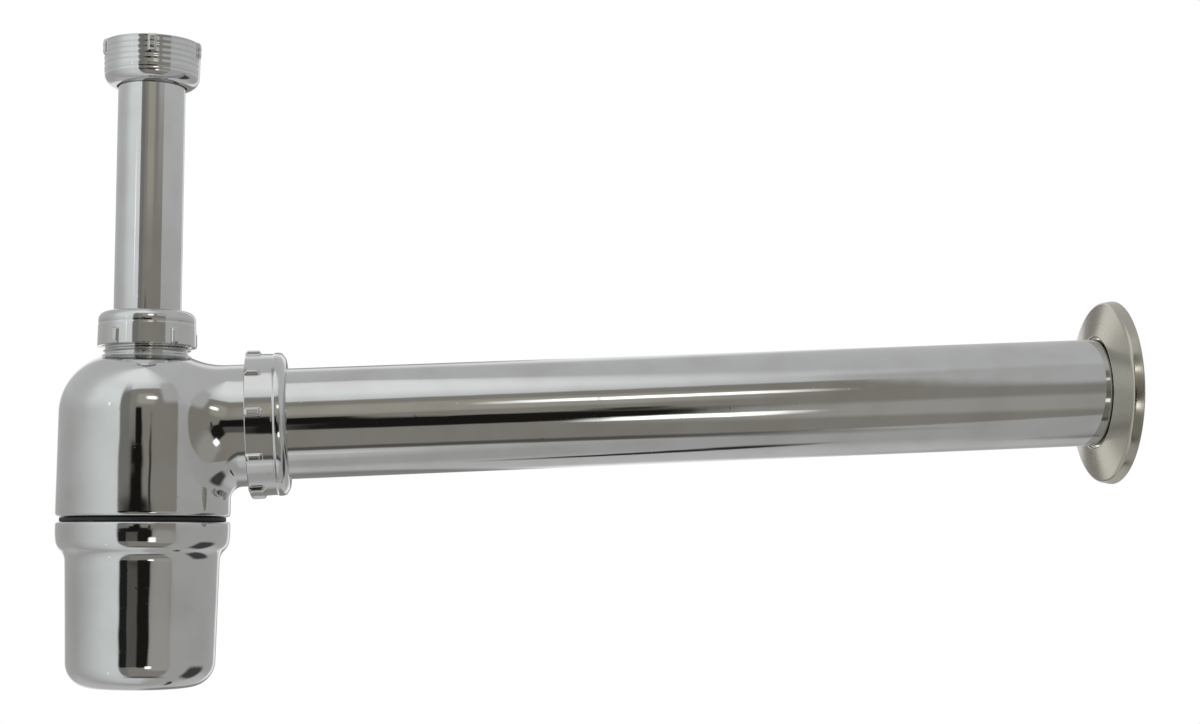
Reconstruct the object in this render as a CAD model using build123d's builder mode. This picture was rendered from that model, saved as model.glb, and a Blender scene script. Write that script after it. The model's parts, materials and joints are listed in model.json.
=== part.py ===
from build123d import *
import os
from math import cos, radians, sin, tan

# Bottle trap for a wash basin: a threaded nut at the top takes the basin waste, the dip tube runs down
# into the cup, and the cast body turns the flow out through the branch and the long wall tube.
# Millimetres. The origin is the centre of the inlet nut's mouth, +Z is up and +X runs to the wall.

# Clearances
SLIDE_GAP = 0.25
THREAD_GAP = 0.3
SEAT_GAP = 0.1

# Tubes
INLET_TUBE_OD = 24.0
INLET_TUBE_WALL = 1.0
INLET_TUBE_SHOWING = 82.3
INLET_COLLAR_OVERLAP = 2.4
INLET_COLLAR_THICKNESS = 1.6
INLET_COLLAR_GAP = 0.75
INLET_LIP_RADIUS = 0.8
DIP_CLEARANCE = 22.5
OUTLET_TUBE_OD = 40.0
OUTLET_TUBE_WALL = 1.0
OUTLET_TUBE_SHOWING = 301.0
OUTLET_TUBE_INSERT = 16.0
OUTLET_TUBE_BEHIND_FLANGE = 5.0
OUTLET_TUBE_EDGE = 0.25
OUTLET_RISE = 2.6

# Nuts: round barrels with a turned-in shoulder that holds a tube, and grip lugs at the open end
NUT_SHOULDER_THICKNESS = 2.2
NUT_SHOULDER_RADIUS = 3.0
NUT_FLARE = 0.3
NUT_RELIEF = 0.6
SMALL_NUT_WALL = 2.1
SMALL_NUT_LUGS = 5
SMALL_LUG_PROUD = 0.9
LARGE_NUT_WALL = 2.5
LARGE_NUT_LUGS = 10
LARGE_LUG_PROUD = 1.3
LUG_WIDTH = 2.3
LUG_LENGTH = 6.0
LUG_ROOT = 0.5
LUG_END_EASE = 0.5
INLET_NUT_HEIGHT = 16.1
INLET_LUG_TURN = -90.0
NECK_NUT_HEIGHT = 12.6
NECK_LUG_TURN = 50.0
OUTLET_NUT_HEIGHT = 14.4
OUTLET_LUG_TURN = -11.0

# Rings inside the nuts
SLIP_RING_THICKNESS = 0.8
SLIP_RING_EDGE = 0.2
WASHER_THICKNESS = 2.8
WASHER_EDGE = 0.4
INLET_WASHER_THICKNESS = 2.5
RING_INSET = 0.6

# Cast body
BODY_WALL = 2.2
BODY_DRAFT = 0.4
BODY_BESIDE_BRANCH = 8.7
BODY_BELOW_BRANCH = 9.4
BODY_ABOVE_BRANCH = 4.0
DOME_RADIUS = 21.4
NECK_SHOWING = 3.6
NECK_WALL = 2.95
BRANCH_WALL = 1.75
BRANCH_NUT_GAP = 6.4
BRANCH_THREAD_WALL = 2.75
BRANCH_THREAD_RUNOUT = 2.0
BRANCH_FILLET = 5.0
SPIGOT_STEP = 3.5
SPIGOT_WALL = 2.6
SPIGOT_PAST_COLLAR = 2.2

# Cup and its seal
CUP_SEAL_THICKNESS = 1.6
CUP_SEAL_INSET = 1.2
COLLAR_STEP = 0.3
COLLAR_HEIGHT = 6.0
CUP_SHOULDER_HEIGHT = 8.0
CUP_SHOULDER_STEP = 3.3
CUP_TAPER = 1.2
CUP_HEIGHT = 58.3
CUP_WALL = 1.6
CUP_CORNER = 9.0

# Wall flange
FLANGE_WIDTH = 13.8
FLANGE_SHEET = 1.0
FLANGE_HOLE_GAP = 0.8
FLANGE_RIM_DEPTH = 4.2
FLANGE_RIM_DRAFT = 0.7
FLANGE_RIM_INNER_RADIUS = 0.4
FLANGE_CONE = 3.0

# Radii about the outlet axis
outlet_tube_r = OUTLET_TUBE_OD / 2
outlet_hole_r = outlet_tube_r + SLIDE_GAP
branch_r = outlet_hole_r + BRANCH_WALL
branch_thread_r = outlet_hole_r + BRANCH_THREAD_WALL
outlet_nut_bore_r = branch_thread_r + THREAD_GAP

# Radii about the inlet axis
inlet_tube_r = INLET_TUBE_OD / 2
inlet_hole_r = inlet_tube_r + SLIDE_GAP
collar_r = inlet_tube_r + INLET_COLLAR_OVERLAP
inlet_bore_r = collar_r + INLET_COLLAR_GAP
neck_r = inlet_hole_r + NECK_WALL
neck_nut_bore_r = neck_r + THREAD_GAP
body_foot_r = branch_r + BODY_BESIDE_BRANCH
body_top_r = body_foot_r - BODY_DRAFT
spigot_r = body_foot_r - SPIGOT_STEP
spigot_bore_r = spigot_r - SPIGOT_WALL
collar_bore_r = spigot_r + THREAD_GAP
cup_collar_r = body_foot_r - COLLAR_STEP
cup_top_r = cup_collar_r - CUP_SHOULDER_STEP
cup_foot_r = cup_top_r - CUP_TAPER

# Levels along the inlet axis
inlet_nut_foot = -INLET_NUT_HEIGHT
collar_seat = inlet_nut_foot + NUT_SHOULDER_THICKNESS + SEAT_GAP
tube_top = collar_seat + INLET_COLLAR_THICKNESS
neck_nut_top = inlet_nut_foot - INLET_TUBE_SHOWING
neck_nut_foot = neck_nut_top - NECK_NUT_HEIGHT
neck_ring_top = neck_nut_top - NUT_SHOULDER_THICKNESS - SEAT_GAP
neck_washer_top = neck_ring_top - SLIP_RING_THICKNESS - SEAT_GAP
neck_mouth = neck_washer_top - WASHER_THICKNESS
dome_top = neck_nut_foot - NECK_SHOWING
outlet_level = dome_top - BODY_ABOVE_BRANCH - branch_r
body_foot = outlet_level - branch_r - BODY_BELOW_BRANCH
collar_top = body_foot - CUP_SEAL_THICKNESS - 2 * SEAT_GAP
collar_foot = collar_top - COLLAR_HEIGHT
spigot_foot = collar_foot - SPIGOT_PAST_COLLAR
cup_shoulder_foot = collar_foot - CUP_SHOULDER_HEIGHT
cup_foot = collar_top - CUP_HEIGHT
bowl_floor = cup_foot + CUP_WALL
dip_end = bowl_floor + DIP_CLEARANCE

# Frame of the branch: its Z runs out along the outlet axis, which rises a little towards the wall
outlet_way = Vector(cos(radians(OUTLET_RISE)), 0, sin(radians(OUTLET_RISE)))
outlet_up = Vector(-sin(radians(OUTLET_RISE)), 0, cos(radians(OUTLET_RISE)))
outlet_frame = Plane(origin=(0, 0, outlet_level), x_dir=outlet_up, z_dir=outlet_way)

# Stations along the outlet axis, counted from the inlet axis
outlet_nut_start = body_top_r + BRANCH_NUT_GAP
outlet_nut_end = outlet_nut_start + OUTLET_NUT_HEIGHT
outlet_ring_end = outlet_nut_end - NUT_SHOULDER_THICKNESS - SEAT_GAP
outlet_washer_end = outlet_ring_end - SLIP_RING_THICKNESS - SEAT_GAP
branch_mouth = outlet_washer_end - WASHER_THICKNESS
outlet_tube_start = branch_mouth - OUTLET_TUBE_INSERT
flange_face = outlet_nut_end + OUTLET_TUBE_SHOWING
flange_depth = FLANGE_RIM_DEPTH + FLANGE_CONE
outlet_tube_end = flange_face + flange_depth + OUTLET_TUBE_BEHIND_FLANGE


def along_outlet(station):
    """Plane square to the outlet axis at a station counted from the inlet axis."""
    return outlet_frame.offset(station)


def section_of(frame):
    """Sketch plane through a frame's Z axis: sketch X is the radius and sketch Y runs along that axis."""
    return Plane(origin=frame.origin, x_dir=frame.x_dir, z_dir=-frame.y_dir)


def axis_of(frame):
    return Axis(frame.origin, frame.z_dir)


def make_nut(name, frame, height, hole_r, bore_r, wall, ring_room, lug_count, lug_proud, lug_turn):
    """Nut with its shoulder at the frame's origin and its open end up Z, relieved where its rings sit."""
    outer_r = bore_r + wall
    foot_r = outer_r - NUT_FLARE
    relief_r = bore_r + NUT_RELIEF
    relief_end = NUT_SHOULDER_THICKNESS + ring_room
    lug_r = outer_r + lug_proud
    lug_root_r = foot_r - LUG_ROOT
    lug_foot = height - LUG_LENGTH
    with BuildPart() as lugs:
        with BuildSketch(section_of(frame)):
            with BuildLine():
                Polyline(
                    (lug_root_r, lug_foot),
                    (foot_r, lug_foot),
                    (lug_r, lug_foot + lug_proud),
                    (lug_r, height - LUG_END_EASE),
                    (lug_r - LUG_END_EASE, height),
                    (lug_root_r, height),
                    close=True,
                )
            make_face()
        revolve(axis=axis_of(frame))
        with BuildSketch(frame.rotated((0, 0, lug_turn))):
            with PolarLocations(outer_r, lug_count):
                Rectangle(2 * wall, LUG_WIDTH)
        extrude(amount=height, mode=Mode.INTERSECT)
    with BuildPart() as nut:
        with BuildSketch(section_of(frame)):
            with BuildLine():
                shoulder = (foot_r - NUT_SHOULDER_RADIUS, 0)
                barrel = (foot_r, NUT_SHOULDER_RADIUS)
                Line((hole_r, 0), shoulder)
                RadiusArc(shoulder, barrel, -NUT_SHOULDER_RADIUS)
                Polyline(
                    barrel,
                    (outer_r, height),
                    (bore_r, height),
                    (bore_r, relief_end),
                    (relief_r, relief_end),
                    (relief_r, NUT_SHOULDER_THICKNESS),
                    (hole_r, NUT_SHOULDER_THICKNESS),
                    (hole_r, 0),
                )
            make_face()
        revolve(axis=axis_of(frame))
        add(lugs.part)
    nut.part.label = name
    return nut.part


def make_ring(name, frame, inner_r, outer_r, thickness, edge):
    """Flat ring with eased edges, standing on the frame's origin."""
    with BuildPart() as ring:
        with BuildSketch(section_of(frame)) as ring_section:
            with Locations(((inner_r + outer_r) / 2, thickness / 2)):
                Rectangle(outer_r - inner_r, thickness)
            fillet(ring_section.vertices(), edge)
        revolve(axis=axis_of(frame))
    ring.part.label = name
    return ring.part


os.makedirs("parts", exist_ok=True)

# Inlet nut, open end up, with its thread above the collar and the rubber ring
inlet_nut = make_nut(
    "inlet_nut",
    Plane.XY.offset(inlet_nut_foot),
    INLET_NUT_HEIGHT,
    inlet_hole_r + SLIDE_GAP,
    inlet_bore_r,
    SMALL_NUT_WALL,
    INLET_COLLAR_THICKNESS + INLET_WASHER_THICKNESS + 2 * SEAT_GAP,
    SMALL_NUT_LUGS,
    SMALL_LUG_PROUD,
    INLET_LUG_TURN,
)
export_step(inlet_nut, "parts/inlet_nut.step")

# Dip tube with the rolled collar that hangs in the inlet nut
inlet_tube_bore_r = inlet_tube_r - INLET_TUBE_WALL
with BuildPart() as inlet_tube:
    with BuildSketch(Plane.XZ):
        with BuildLine():
            Polyline(
                (inlet_tube_bore_r, dip_end),
                (inlet_tube_r, dip_end),
                (inlet_tube_r, collar_seat),
                (collar_r, collar_seat),
                (collar_r, tube_top),
                (inlet_tube_bore_r, tube_top),
                close=True,
            )
        make_face()
    revolve(axis=Axis.Z)
    fillet(inlet_tube.edges().group_by(Axis.Z)[-1].sort_by(SortBy.RADIUS)[0], INLET_LIP_RADIUS)
inlet_tube.part.label = "inlet_tube"
export_step(inlet_tube.part, "parts/inlet_tube.step")

# Rubber ring on the dip tube's collar, which the basin waste presses on
inlet_washer = make_ring(
    "inlet_washer",
    Plane.XY.offset(tube_top),
    inlet_tube_r,
    inlet_bore_r - SLIDE_GAP,
    INLET_WASHER_THICKNESS,
    WASHER_EDGE,
)
export_step(inlet_washer, "parts/inlet_washer.step")

# Neck nut, open end down, with the slip ring and the rubber ring that it squeezes on to the dip tube
clamp_room = SLIP_RING_THICKNESS + WASHER_THICKNESS + 2 * SEAT_GAP
neck_nut = make_nut(
    "neck_nut",
    Plane(origin=(0, 0, neck_nut_top), x_dir=(1, 0, 0), z_dir=(0, 0, -1)),
    NECK_NUT_HEIGHT,
    inlet_hole_r,
    neck_nut_bore_r,
    SMALL_NUT_WALL,
    clamp_room,
    SMALL_NUT_LUGS,
    SMALL_LUG_PROUD,
    NECK_LUG_TURN,
)
export_step(neck_nut, "parts/neck_nut.step")

neck_slip_ring = make_ring(
    "neck_slip_ring",
    Plane.XY.offset(neck_ring_top - SLIP_RING_THICKNESS),
    inlet_hole_r,
    neck_r - RING_INSET,
    SLIP_RING_THICKNESS,
    SLIP_RING_EDGE,
)
export_step(neck_slip_ring, "parts/neck_slip_ring.step")

neck_washer = make_ring(
    "neck_washer",
    Plane.XY.offset(neck_mouth),
    inlet_hole_r,
    neck_r - RING_INSET,
    WASHER_THICKNESS,
    WASHER_EDGE,
)
export_step(neck_washer, "parts/neck_washer.step")

# Cast body: domed bell with a neck on top, a branch to one side and a threaded spigot below
dome_foot = dome_top - (DOME_RADIUS**2 - (neck_r - body_top_r + DOME_RADIUS) ** 2) ** 0.5
chamber_top_r = body_top_r - BODY_WALL
chamber_foot_r = body_foot_r - BODY_WALL
chamber_dome_r = DOME_RADIUS - BODY_WALL
chamber_top = dome_foot + (chamber_dome_r**2 - (inlet_hole_r - body_top_r + DOME_RADIUS) ** 2) ** 0.5
spigot_ledge = body_foot + BODY_WALL
with BuildPart() as body:
    with BuildSketch(Plane.XZ):
        with BuildLine():
            Line((0, body_foot), (body_foot_r, body_foot))
            Line((body_foot_r, body_foot), (body_top_r, dome_foot))
            RadiusArc((body_top_r, dome_foot), (neck_r, dome_top), -DOME_RADIUS)
            Polyline((neck_r, dome_top), (neck_r, neck_mouth), (0, neck_mouth), (0, body_foot))
        make_face()
    revolve(axis=Axis.Z)
    bell_edges = body.edges()
    with BuildSketch(outlet_frame):
        Circle(branch_r)
    extrude(amount=branch_mouth)
    join_edges = body.edges() - bell_edges
    fillet(join_edges.filter_by(GeomType.CIRCLE, reverse=True), BRANCH_FILLET)
    with BuildSketch(along_outlet(outlet_nut_start + BRANCH_THREAD_RUNOUT)):
        Circle(branch_thread_r)
    extrude(amount=branch_mouth - outlet_nut_start - BRANCH_THREAD_RUNOUT)
    with BuildSketch(Plane.XY.offset(body_foot)):
        Circle(spigot_r)
    extrude(amount=spigot_foot - body_foot)
    with BuildSketch(Plane.XZ):
        with BuildLine():
            Polyline(
                (0, neck_mouth),
                (0, spigot_foot),
                (spigot_bore_r, spigot_foot),
                (spigot_bore_r, spigot_ledge),
                (chamber_foot_r, spigot_ledge + chamber_foot_r - spigot_bore_r),
                (chamber_top_r, dome_foot),
            )
            RadiusArc((chamber_top_r, dome_foot), (inlet_hole_r, chamber_top), -chamber_dome_r)
            Polyline((inlet_hole_r, chamber_top), (inlet_hole_r, neck_mouth), (0, neck_mouth))
        make_face()
    revolve(axis=Axis.Z, mode=Mode.SUBTRACT)
    with BuildSketch(outlet_frame):
        Circle(outlet_hole_r)
    extrude(amount=branch_mouth, mode=Mode.SUBTRACT)
body.part.label = "body"
export_step(body.part, "parts/body.step")

cup_seal = make_ring(
    "cup_seal",
    Plane.XY.offset(collar_top + SEAT_GAP),
    spigot_r + SLIDE_GAP,
    cup_collar_r - CUP_SEAL_INSET,
    CUP_SEAL_THICKNESS,
    WASHER_EDGE,
)
export_step(cup_seal, "parts/cup_seal.step")

# Cup: threaded collar, shoulder and a tapered bowl with a rounded foot
shoulder_middle = ((cup_collar_r + cup_top_r) / 2, collar_foot - CUP_SHOULDER_HEIGHT / 2)
bowl_top_r = cup_top_r - CUP_WALL
bowl_foot_r = cup_foot_r - CUP_WALL
bowl_corner = CUP_CORNER - CUP_WALL
thread_foot = spigot_foot - CUP_WALL
with BuildPart() as cup:
    with BuildSketch(Plane.XZ):
        with BuildLine():
            Polyline((0, collar_top), (cup_collar_r, collar_top), (cup_collar_r, collar_foot))
            TangentArc((cup_collar_r, collar_foot), shoulder_middle, tangent=(0, -1))
            TangentArc((cup_top_r, cup_shoulder_foot), shoulder_middle, tangent=(0, 1))
            Polyline(
                (cup_top_r, cup_shoulder_foot),
                (cup_foot_r, cup_foot + CUP_CORNER),
            )
            RadiusArc((cup_foot_r, cup_foot + CUP_CORNER), (cup_foot_r - CUP_CORNER, cup_foot), CUP_CORNER)
            Polyline((cup_foot_r - CUP_CORNER, cup_foot), (0, cup_foot), (0, collar_top))
        make_face()
    revolve(axis=Axis.Z)
    with BuildSketch(Plane.XZ):
        with BuildLine():
            Polyline(
                (0, bowl_floor),
                (0, collar_top),
                (collar_bore_r, collar_top),
                (collar_bore_r, thread_foot),
                (bowl_top_r, thread_foot - collar_bore_r + bowl_top_r),
                (bowl_foot_r, bowl_floor + bowl_corner),
            )
            RadiusArc(
                (bowl_foot_r, bowl_floor + bowl_corner),
                (bowl_foot_r - bowl_corner, bowl_floor),
                bowl_corner,
            )
            Line((bowl_foot_r - bowl_corner, bowl_floor), (0, bowl_floor))
        make_face()
    revolve(axis=Axis.Z, mode=Mode.SUBTRACT)
cup.part.label = "cup"
export_step(cup.part, "parts/cup.step")

# Outlet nut, open end towards the body, with its own slip ring and rubber ring
outlet_nut = make_nut(
    "outlet_nut",
    Plane(origin=along_outlet(outlet_nut_end).origin, x_dir=outlet_up, z_dir=-outlet_way),
    OUTLET_NUT_HEIGHT,
    outlet_hole_r,
    outlet_nut_bore_r,
    LARGE_NUT_WALL,
    clamp_room,
    LARGE_NUT_LUGS,
    LARGE_LUG_PROUD,
    OUTLET_LUG_TURN,
)
export_step(outlet_nut, "parts/outlet_nut.step")

outlet_slip_ring = make_ring(
    "outlet_slip_ring",
    along_outlet(outlet_ring_end - SLIP_RING_THICKNESS),
    outlet_hole_r,
    branch_thread_r - RING_INSET,
    SLIP_RING_THICKNESS,
    SLIP_RING_EDGE,
)
export_step(outlet_slip_ring, "parts/outlet_slip_ring.step")

outlet_washer = make_ring(
    "outlet_washer",
    along_outlet(branch_mouth),
    outlet_hole_r,
    branch_thread_r - RING_INSET,
    WASHER_THICKNESS,
    WASHER_EDGE,
)
export_step(outlet_washer, "parts/outlet_washer.step")

# Long tube to the wall
with BuildPart() as outlet_tube:
    with BuildSketch(along_outlet(outlet_tube_start)):
        Circle(outlet_tube_r)
        Circle(outlet_tube_r - OUTLET_TUBE_WALL, mode=Mode.SUBTRACT)
    extrude(amount=outlet_tube_end - outlet_tube_start)
    chamfer(outlet_tube.edges(), OUTLET_TUBE_EDGE)
outlet_tube.part.label = "outlet_tube"
export_step(outlet_tube.part, "parts/outlet_tube.step")

# Pressed wall flange: it stands square to the wall while the tube passes through at its own slope
flange_hole_r = outlet_tube_r + FLANGE_HOLE_GAP
flange_r = flange_hole_r + FLANGE_WIDTH
flange_ridge_r = flange_r - FLANGE_RIM_DRAFT
flange_face_x = flange_face * cos(radians(OUTLET_RISE))
flange_hole_x = flange_face_x + FLANGE_SHEET / 2
wall_frame = Plane(
    origin=(flange_face_x + flange_depth, 0, outlet_level + flange_hole_x * tan(radians(OUTLET_RISE))),
    x_dir=(0, 0, 1),
    z_dir=(-1, 0, 0),
)
with BuildPart() as wall_flange:
    with BuildSketch(section_of(wall_frame)):
        with BuildLine():
            outer = FilletPolyline(
                (flange_r, 0),
                (flange_ridge_r, FLANGE_RIM_DEPTH),
                (flange_hole_r, flange_depth),
                radius=FLANGE_RIM_INNER_RADIUS + FLANGE_SHEET,
            )
            inner = FilletPolyline(
                (flange_r - FLANGE_SHEET, 0),
                (flange_ridge_r - FLANGE_SHEET, FLANGE_RIM_DEPTH - FLANGE_SHEET),
                (flange_hole_r, flange_depth - FLANGE_SHEET),
                radius=FLANGE_RIM_INNER_RADIUS,
            )
            Line(outer @ 0, inner @ 0)
            Line(outer @ 1, inner @ 1)
        make_face()
    revolve(axis=axis_of(wall_frame))
wall_flange.part.label = "wall_flange"
export_step(wall_flange.part, "parts/wall_flange.step")
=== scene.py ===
import json
import math
from functools import cached_property

import bmesh
import bpy
import numpy as np
from bpy.props import FloatProperty, FloatVectorProperty, IntProperty, PointerProperty
from mathutils import Matrix, Vector

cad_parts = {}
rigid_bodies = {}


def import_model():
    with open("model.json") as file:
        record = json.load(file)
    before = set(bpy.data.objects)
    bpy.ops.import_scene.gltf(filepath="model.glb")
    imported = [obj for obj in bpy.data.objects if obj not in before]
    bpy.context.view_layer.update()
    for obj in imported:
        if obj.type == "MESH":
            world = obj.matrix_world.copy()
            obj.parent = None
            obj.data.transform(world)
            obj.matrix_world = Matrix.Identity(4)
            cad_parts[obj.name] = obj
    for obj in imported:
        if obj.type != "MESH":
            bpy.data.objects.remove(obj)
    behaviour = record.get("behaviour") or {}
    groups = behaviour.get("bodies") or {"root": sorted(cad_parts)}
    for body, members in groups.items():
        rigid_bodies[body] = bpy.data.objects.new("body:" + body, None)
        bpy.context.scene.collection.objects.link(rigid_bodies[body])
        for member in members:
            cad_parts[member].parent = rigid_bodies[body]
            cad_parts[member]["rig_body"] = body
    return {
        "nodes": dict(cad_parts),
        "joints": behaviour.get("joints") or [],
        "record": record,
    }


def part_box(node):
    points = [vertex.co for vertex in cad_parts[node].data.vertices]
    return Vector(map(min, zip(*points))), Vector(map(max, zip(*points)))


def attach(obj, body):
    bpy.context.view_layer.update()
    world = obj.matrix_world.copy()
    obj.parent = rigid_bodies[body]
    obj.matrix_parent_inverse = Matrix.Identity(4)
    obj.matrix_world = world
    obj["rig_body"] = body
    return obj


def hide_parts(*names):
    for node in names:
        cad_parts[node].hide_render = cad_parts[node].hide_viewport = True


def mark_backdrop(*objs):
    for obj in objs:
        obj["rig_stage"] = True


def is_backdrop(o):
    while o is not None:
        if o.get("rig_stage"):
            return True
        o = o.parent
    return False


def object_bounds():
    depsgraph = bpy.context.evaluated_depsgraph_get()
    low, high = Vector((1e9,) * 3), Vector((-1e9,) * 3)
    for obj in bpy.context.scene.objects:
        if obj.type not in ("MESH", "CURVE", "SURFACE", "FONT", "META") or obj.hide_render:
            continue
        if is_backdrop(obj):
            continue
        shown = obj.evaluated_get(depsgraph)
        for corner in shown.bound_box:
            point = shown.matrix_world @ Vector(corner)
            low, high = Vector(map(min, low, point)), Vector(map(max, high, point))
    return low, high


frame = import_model()
CAD_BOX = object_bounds()

bl_info = {
    "name": "Basin Trap",
    "version": (1, 0, 0),
    "blender": (4, 5, 0),
    "location": "View3D > Sidebar > Trap",
    "description": "Builds a chromed basin trap with lugged nuts, threads, tubes and rubber rings",
    "category": "Add Mesh",
}

MM = 0.001
TAU = 2 * math.pi

# How near a point has to lie to a radius to count as on it, and to another point to be merged with it
ON_RADIUS = 0.02 * MM
MERGE_GAP = 0.002 * MM


# The two axes of the trap

def joint(name):
    return next(j for j in frame["joints"] if j["name"] == name)


def outlet_place():
    """Frame of the outlet: Z runs out along it from the inlet axis, and X points up."""
    way = Vector(joint("outlet_reach")["axis"]).normalized()
    on_axis = Vector(joint("outlet_nut_turn")["pos_m"])
    up = Vector((-way.z, 0, way.x))
    place = Matrix((up, way.cross(up), way)).transposed().to_4x4()
    place.translation = on_axis - way * (on_axis.x / way.x)
    return place


INLET = Matrix.Identity(4)
OUTLET = outlet_place()


def measure(node, place):
    """Lowest and highest station of a node along a place's Z axis, and its least and greatest radius."""
    inverse = place.inverted()
    points = np.array([inverse @ v.co for v in frame["nodes"][node].data.vertices])
    radii = np.hypot(points[:, 0], points[:, 1])
    return points[:, 2].min(), points[:, 2].max(), radii.min(), radii.max()


# Properties

def size(name, value, about):
    return FloatProperty(name=name, description=about, default=value, min=0, unit="LENGTH", precision=5)


def share(name, value, about):
    return FloatProperty(name=name, description=about, default=value, min=0, max=1, subtype="FACTOR")


def angle(name, degrees, about):
    return FloatProperty(name=name, description=about, default=math.radians(degrees), unit="ROTATION")


def colour(name, value, about):
    return FloatVectorProperty(name=name, description=about, default=value, min=0, max=1, subtype="COLOR")


def spot(name, value, about):
    return FloatVectorProperty(name=name, description=about, default=value, subtype="XYZ", unit="LENGTH")


class TrapMeshing(bpy.types.PropertyGroup):
    columns: IntProperty(
        name="Columns", description="Faces round a turned piece", default=192, min=48, max=384
    )
    thread_rows: IntProperty(
        name="Thread rows", description="Rows of faces in one turn of a thread", default=14, min=8, max=32
    )
    support: size("Support", 0.25 * MM, "Distance of the row that keeps a flat stretch flat beside an edge")
    sharp: angle("Sharp edges", 48, "Edges steeper than this stay crisp")


class TrapNuts(bpy.types.PropertyGroup):
    shoulder: size("Shoulder", 2.2 * MM, "Thickness of the turned-in shoulder")
    shoulder_radius: size("Shoulder radius", 3.0 * MM, "Rounding of the shoulder's outer edge")
    flare: size("Flare", 0.3 * MM, "How much a barrel widens to its open end")
    relief: size("Relief", 0.6 * MM, "Depth of the groove behind the thread")
    edge: size("Edge", 0.35 * MM, "Rounding of the open end")
    lug_width: size("Lug width", 2.3 * MM, "Width of a grip lug")
    lug_length: size("Lug length", 6.0 * MM, "Length of a grip lug along the nut")
    lug_edge: size("Lug edge", 0.4 * MM, "Half the width of a lug's rounded flank")
    lug_sink: share("Lug sink", 0.4, "Share of its height that a lug loses at the open end")
    mark_pitch: size("Mark pitch", 2.0 * MM, "Spacing of the turning marks round the inlet nut")
    mark_depth: size("Mark depth", 0.055 * MM, "Depth of the inlet nut's turning marks")
    line_depth: size("Line depth", 0.12 * MM, "Depth of the line between the shoulder and the barrel")
    line_width: size("Line width", 0.35 * MM, "Half the width of that line")
    inlet_shoulder_radius: size("Inlet shoulder", 4.5 * MM, "Rounding of the inlet nut's shoulder")
    collar_length: size("Collar length", 4.4 * MM, "Length of the outlet nut's swollen collar")
    collar_step: size("Collar step", 0.8 * MM, "Length of the step from that collar to the barrel")
    collar_swell: size("Collar swell", 0.4 * MM, "How far the outlet nut's collar stands over its barrel")
    small_wall: size("Small wall", 2.1 * MM, "Barrel wall of the inlet and neck nuts over their bores")
    small_proud: size("Small lug", 0.9 * MM, "Height of the lugs on the inlet and neck nuts")
    large_wall: size("Large wall", 2.5 * MM, "Barrel wall of the outlet nut over its bore")
    large_proud: size("Large lug", 1.3 * MM, "Height of the lugs on the outlet nut")
    inlet_turn: angle("Inlet lugs", -84, "Where the inlet nut's first lug stands")
    neck_turn: angle("Neck lugs", -50, "Where the neck nut's first lug stands")
    outlet_turn: angle("Outlet lugs", 11, "Where the outlet nut's first lug stands, from the top")


class TrapThreads(bpy.types.PropertyGroup):
    fine_pitch: size("Fine pitch", 2.0 * MM, "Pitch of the neck and cup threads")
    pipe_pitch: size("Pipe pitch", 2.309 * MM, "Pitch of the inlet and outlet threads")
    depth: size("Depth", 1.1 * MM, "Height of a thread from root to crest")
    play: size("Play", 0.2 * MM, "Radial play between two mating threads")
    crest: FloatProperty(
        name="Crest", description="How square a thread's crests are", default=1.8, min=0.5, max=5
    )


class TrapBody(bpy.types.PropertyGroup):
    wall: size("Wall", 2.2 * MM, "Wall of the casting")
    draft: size("Draft", 0.4 * MM, "How much the bell narrows from its foot to its dome")
    dome_radius: size("Dome radius", 21.4 * MM, "Rounding of the domed top")
    above_branch: size("Above branch", 4.0 * MM, "Height of the dome's top above the branch")
    neck_radius: size("Neck radius", 15.2 * MM, "Radius of the neck where it leaves the dome")
    neck_collar: size("Neck collar", 0.6 * MM, "How far the collar at the neck's foot stands over the neck")
    collar_rise: size("Collar rise", 0.35 * MM, "Height of that collar above the dome's top")
    thread_rise: size("Thread rise", 0.6 * MM, "Height above the dome's top where the neck's thread starts")
    branch_wall: size("Branch wall", 1.75 * MM, "Wall of the branch over its bore")
    branch_fillet: size("Branch fillet", 26.0 * MM, "Rounding between bell and branch, at its top and sides")
    branch_low_fillet: size("Low fillet", 4.5 * MM, "Rounding between the bell and the branch, below it")
    branch_thread: size("Branch thread", 1.0 * MM, "How far the middle of its thread stands over the branch")
    branch_run: size("Branch run", 1.2 * MM, "How far the plain branch goes in under the outlet nut")
    branch_step: size("Branch step", 0.5 * MM, "Length of the step from the plain branch to its thread")
    foot_edge: size("Foot edge", 1.4 * MM, "Rounding of the bell's foot")
    spigot_step: size("Spigot step", 3.5 * MM, "Step in from the bell to the threaded spigot")
    spigot_wall: size("Spigot wall", 2.6 * MM, "Wall of the threaded spigot")
    spigot_length: size("Spigot length", 10.0 * MM, "Length of the threaded spigot")
    edge: size("Edge", 0.35 * MM, "Rounding of the casting's turned edges")


class TrapCup(bpy.types.PropertyGroup):
    wall: size("Wall", 1.6 * MM, "Wall of the cup")
    collar_height: size("Collar", 6.0 * MM, "Height of the threaded collar")
    shoulder_height: size("Shoulder height", 8.0 * MM, "Height of the curved shoulder")
    shoulder_step: size("Shoulder step", 3.3 * MM, "Step in from the collar to the bowl")
    taper: size("Taper", 1.2 * MM, "How much the bowl narrows to its foot")
    corner: size("Corner", 9.0 * MM, "Rounding of the foot")
    collar_swell: size("Collar swell", 0.25 * MM, "How much the collar bulges")
    swell_drop: share("Swell drop", 0.45, "Where the bulge is greatest, as a share of the collar's height")
    swell_reach: share("Swell reach", 0.6, "Half the bulge's length, as a share of the collar's height")
    edge: size("Edge", 0.7 * MM, "Rounding of the rim")


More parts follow.
